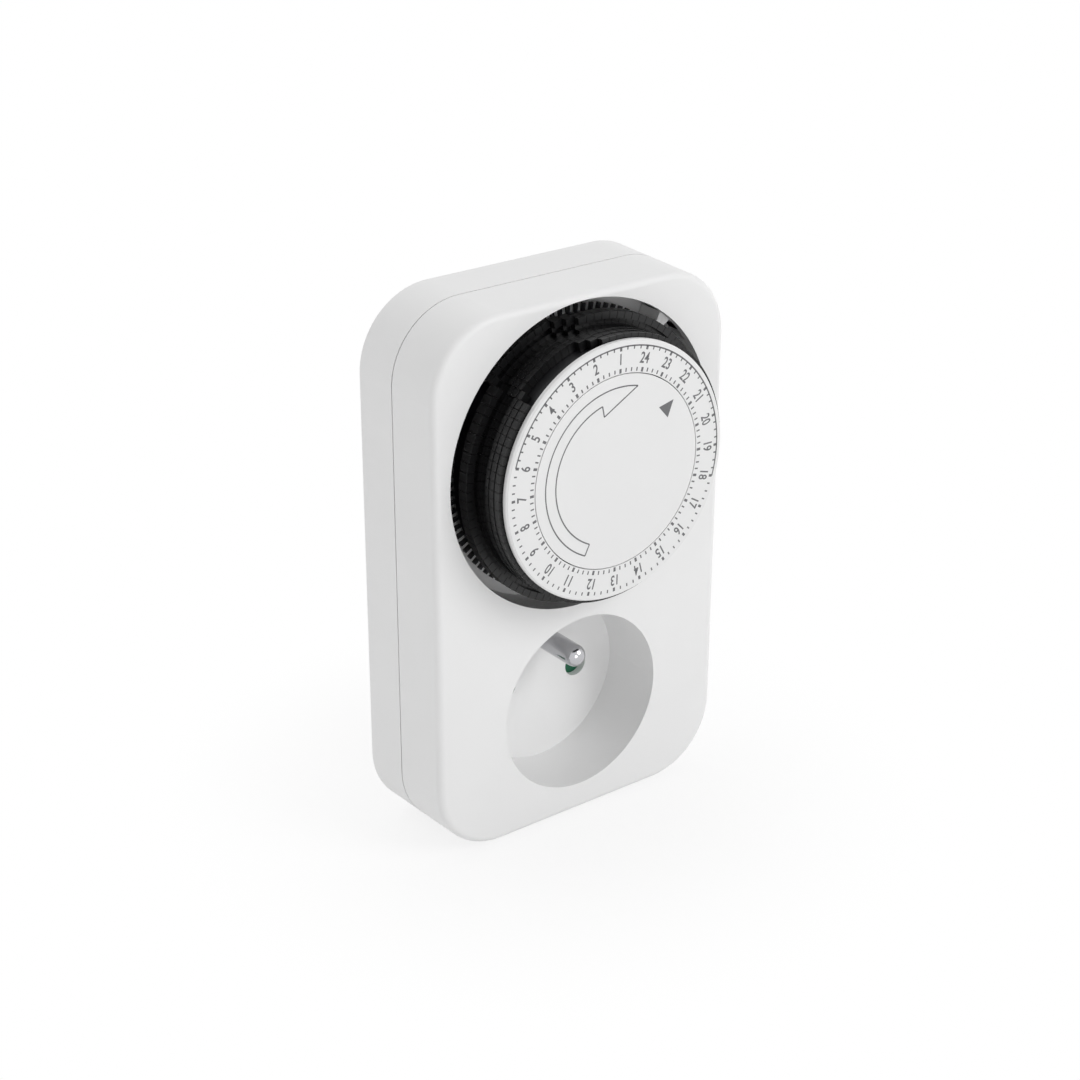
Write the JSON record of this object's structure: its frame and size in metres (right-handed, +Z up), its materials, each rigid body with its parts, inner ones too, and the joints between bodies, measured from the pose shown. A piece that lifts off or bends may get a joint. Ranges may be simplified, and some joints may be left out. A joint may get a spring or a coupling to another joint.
{
  "type": "plug-in timer switch",
  "caption": "Mechanical 24-hour plug-in timer with a rotating dial of push-in tappets above an earthed socket, and a round plug on the back.",
  "frame": {"origin": "middle of the plug's end face, midway between the two plug pins", "axes": "+X right and +Z up as the user sees the front, +Y into the wall along the plug pins; the dial faces -Y"},
  "size_m": [0.0742, 0.0723, 0.1178],
  "materials": {
    "case_plastic": "moulded, satin white",
    "dial_plastic": "moulded, white with grey print",
    "drum_plastic": "moulded, black",
    "tappet_plastic": "moulded, black",
    "lever_plastic": "moulded, black",
    "shoe_plastic": "moulded, white",
    "gear_plastic": "moulded, natural",
    "shutter_plastic": "moulded, green",
    "nickel_brass": "turned brass, nickel plated",
    "strip_brass": "stamped strip",
    "spring_bronze": "rolled spring strip",
    "zinc_steel": "zinc plated",
    "coil_copper": "enamelled winding wire",
    "magnet_ferrite": "sintered ferrite"
  },
  "bodies": {
    "housing": {"case_screws": "zinc_steel", "centre_cap": "dial_plastic", "earth_pin": "nickel_brass", "earth_sleeve": "strip_brass", "earth_strap": "strip_brass", "fixed_contact": "strip_brass", "front_shell": "case_plastic", "gear_arbor": "zinc_steel", "lever_pin": "zinc_steel", "live_pin": "nickel_brass", "live_sleeve": "strip_brass", "live_strip": "strip_brass", "load_strip": "strip_brass", "motor_can": "zinc_steel", "motor_coil": "coil_copper", "motor_cover": "zinc_steel", "motor_screws": "zinc_steel", "neutral_pin": "nickel_brass", "neutral_sleeve": "strip_brass", "rear_shell": "case_plastic", "shutter_clip": "zinc_steel"},
    "shutter": {"shutter": "shutter_plastic"},
    "program_dial": {"dial_ring": "dial_plastic", "program_drum": "drum_plastic"},
    "reduction_gear": {"reduction_wheel": "gear_plastic", "drive_pinion": "gear_plastic"},
    "motor_output": {"motor_rotor": "magnet_ferrite", "motor_shaft": "zinc_steel", "motor_pinion": "gear_plastic"},
    "switch_lever": {"switch_lever": "lever_plastic", "feeler_shoe": "shoe_plastic"},
    "contact_blade": {"contact_blade": "spring_bronze"},
    "tappets_0045": {"tappets_0045": "tappet_plastic"},
    "tappets_0130": {"tappets_0130": "tappet_plastic"},
    "tappets_0145": {"tappets_0145": "tappet_plastic"},
    "tappets_0200": {"tappets_0200": "tappet_plastic"},
    "tappets_0245": {"tappets_0245": "tappet_plastic"},
    "tappets_0345": {"tappets_0345": "tappet_plastic"},
    "tappets_0400": {"tappets_0400": "tappet_plastic"},
    "tappets_0415": {"tappets_0415": "tappet_plastic"},
    "tappets_0445": {"tappets_0445": "tappet_plastic"},
    "tappets_0545": {"tappets_0545": "tappet_plastic"},
    "tappets_0645": {"tappets_0645": "tappet_plastic"},
    "tappets_0745": {"tappets_0745": "tappet_plastic"},
    "tappets_0845": {"tappets_0845": "tappet_plastic"},
    "tappets_0945": {"tappets_0945": "tappet_plastic"},
    "tappets_1045": {"tappets_1045": "tappet_plastic"},
    "tappets_1145": {"tappets_1145": "tappet_plastic"},
    "tappets_1245": {"tappets_1245": "tappet_plastic"},
    "tappets_1345": {"tappets_1345": "tappet_plastic"},
    "tappets_1445": {"tappets_1445": "tappet_plastic"},
    "tappets_1545": {"tappets_1545": "tappet_plastic"},
    "tappets_1645": {"tappets_1645": "tappet_plastic"},
    "tappets_1745": {"tappets_1745": "tappet_plastic"},
    "tappets_1845": {"tappets_1845": "tappet_plastic"},
    "tappets_1945": {"tappets_1945": "tappet_plastic"},
    "tappets_2045": {"tappets_2045": "tappet_plastic"},
    "tappets_2145": {"tappets_2145": "tappet_plastic"},
    "tappets_2245": {"tappets_2245": "tappet_plastic"},
    "tappets_2345": {"tappets_2345": "tappet_plastic"}
  },
  "joints": [
    {"name": "dial_turn", "type": "hinge", "parent": "housing", "child": "program_dial", "pos_m": [0, -0.045, 0.0562], "axis": [0, 1, 0], "continuous": true},
    {"name": "reduction_turn", "type": "hinge", "parent": "housing", "child": "reduction_gear", "pos_m": [-0.01082, -0.032, 0.04538], "axis": [0, 1, 0], "continuous": true},
    {"name": "motor_turn", "type": "hinge", "parent": "housing", "child": "motor_output", "pos_m": [0, -0.025, 0.0562], "axis": [0, 1, 0], "continuous": true},
    {"name": "shutter_turn", "type": "hinge", "parent": "housing", "child": "shutter", "pos_m": [0, -0.026, 0], "axis": [0, 1, 0], "range_deg": [0, 45], "stiffness_Nm_per_rad": 0.0004, "springref_deg": -17.19},
    {"name": "lever_swing", "type": "hinge", "parent": "housing", "child": "switch_lever", "pos_m": [0.03138, -0.035, 0.07581], "axis": [0, 1, 0], "range_deg": [0, 7.5], "stiffness_Nm_per_rad": 0.01, "springref_deg": -11.46},
    {"name": "blade_flex", "type": "hinge", "parent": "housing", "child": "contact_blade", "pos_m": [0.004, -0.0265, 0.08399], "axis": [0, 1, 0], "range_deg": [-2.5, 0]},
    {"name": "tappets_0045_push", "type": "slide", "parent": "program_dial", "child": "tappets_0045", "axis": [0, 1, 0], "range_m": [0, 0.004]},
    {"name": "tappets_0130_push", "type": "slide", "parent": "program_dial", "child": "tappets_0130", "axis": [0, 1, 0], "range_m": [-0.00133, 0.00267]},
    {"name": "tappets_0145_push", "type": "slide", "parent": "program_dial", "child": "tappets_0145", "axis": [0, 1, 0], "range_m": [-0.00267, 0.00133]},
    {"name": "tappets_0200_push", "type": "slide", "parent": "program_dial", "child": "tappets_0200", "axis": [0, 1, 0], "range_m": [-0.004, 0]},
    {"name": "tappets_0245_push", "type": "slide", "parent": "program_dial", "child": "tappets_0245", "axis": [0, 1, 0], "range_m": [-0.004, 0]},
    {"name": "tappets_0345_push", "type": "slide", "parent": "program_dial", "child": "tappets_0345", "axis": [0, 1, 0], "range_m": [-0.004, 0]},
    {"name": "tappets_0400_push", "type": "slide", "parent": "program_dial", "child": "tappets_0400", "axis": [0, 1, 0], "range_m": [-0.00267, 0.00133]},
    {"name": "tappets_0415_push", "type": "slide", "parent": "program_dial", "child": "tappets_0415", "axis": [0, 1, 0], "range_m": [0, 0.004]},
    {"name": "tappets_0445_push", "type": "slide", "parent": "program_dial", "child": "tappets_0445", "axis": [0, 1, 0], "range_m": [0, 0.004]},
    {"name": "tappets_0545_push", "type": "slide", "parent": "program_dial", "child": "tappets_0545", "axis": [0, 1, 0], "range_m": [0, 0.004]},
    {"name": "tappets_0645_push", "type": "slide", "parent": "program_dial", "child": "tappets_0645", "axis": [0, 1, 0], "range_m": [0, 0.004]},
    {"name": "tappets_0745_push", "type": "slide", "parent": "program_dial", "child": "tappets_0745", "axis": [0, 1, 0], "range_m": [0, 0.004]},
    {"name": "tappets_0845_push", "type": "slide", "parent": "program_dial", "child": "tappets_0845", "axis": [0, 1, 0], "range_m": [0, 0.004]},
    {"name": "tappets_0945_push", "type": "slide", "parent": "program_dial", "child": "tappets_0945", "axis": [0, 1, 0], "range_m": [0, 0.004]},
    {"name": "tappets_1045_push", "type": "slide", "parent": "program_dial", "child": "tappets_1045", "axis": [0, 1, 0], "range_m": [0, 0.004]},
    {"name": "tappets_1145_push", "type": "slide", "parent": "program_dial", "child": "tappets_1145", "axis": [0, 1, 0], "range_m": [0, 0.004]},
    {"name": "tappets_1245_push", "type": "slide", "parent": "program_dial", "child": "tappets_1245", "axis": [0, 1, 0], "range_m": [0, 0.004]},
    {"name": "tappets_1345_push", "type": "slide", "parent": "program_dial", "child": "tappets_1345", "axis": [0, 1, 0], "range_m": [0, 0.004]},
    {"name": "tappets_1445_push", "type": "slide", "parent": "program_dial", "child": "tappets_1445", "axis": [0, 1, 0], "range_m": [0, 0.004]},
    {"name": "tappets_1545_push", "type": "slide", "parent": "program_dial", "child": "tappets_1545", "axis": [0, 1, 0], "range_m": [0, 0.004]},
    {"name": "tappets_1645_push", "type": "slide", "parent": "program_dial", "child": "tappets_1645", "axis": [0, 1, 0], "range_m": [0, 0.004]},
    {"name": "tappets_1745_push", "type": "slide", "parent": "program_dial", "child": "tappets_1745", "axis": [0, 1, 0], "range_m": [0, 0.004]},
    {"name": "tappets_1845_push", "type": "slide", "parent": "program_dial", "child": "tappets_1845", "axis": [0, 1, 0], "range_m": [0, 0.004]},
    {"name": "tappets_1945_push", "type": "slide", "parent": "program_dial", "child": "tappets_1945", "axis": [0, 1, 0], "range_m": [0, 0.004]},
    {"name": "tappets_2045_push", "type": "slide", "parent": "program_dial", "child": "tappets_2045", "axis": [0, 1, 0], "range_m": [0, 0.004]},
    {"name": "tappets_2145_push", "type": "slide", "parent": "program_dial", "child": "tappets_2145", "axis": [0, 1, 0], "range_m": [0, 0.004]},
    {"name": "tappets_2245_push", "type": "slide", "parent": "program_dial", "child": "tappets_2245", "axis": [0, 1, 0], "range_m": [0, 0.004]},
    {"name": "tappets_2345_push", "type": "slide", "parent": "program_dial", "child": "tappets_2345", "axis": [0, 1, 0], "range_m": [0, 0.004]}
  ],
  "couplings": [
    {"joint": "reduction_turn", "follows": "dial_turn", "ratio": 4},
    {"joint": "motor_turn", "follows": "dial_turn", "ratio": -13},
    {"joint": "blade_flex", "follows": "lever_swing", "ratio": -0.2947}
  ]
}
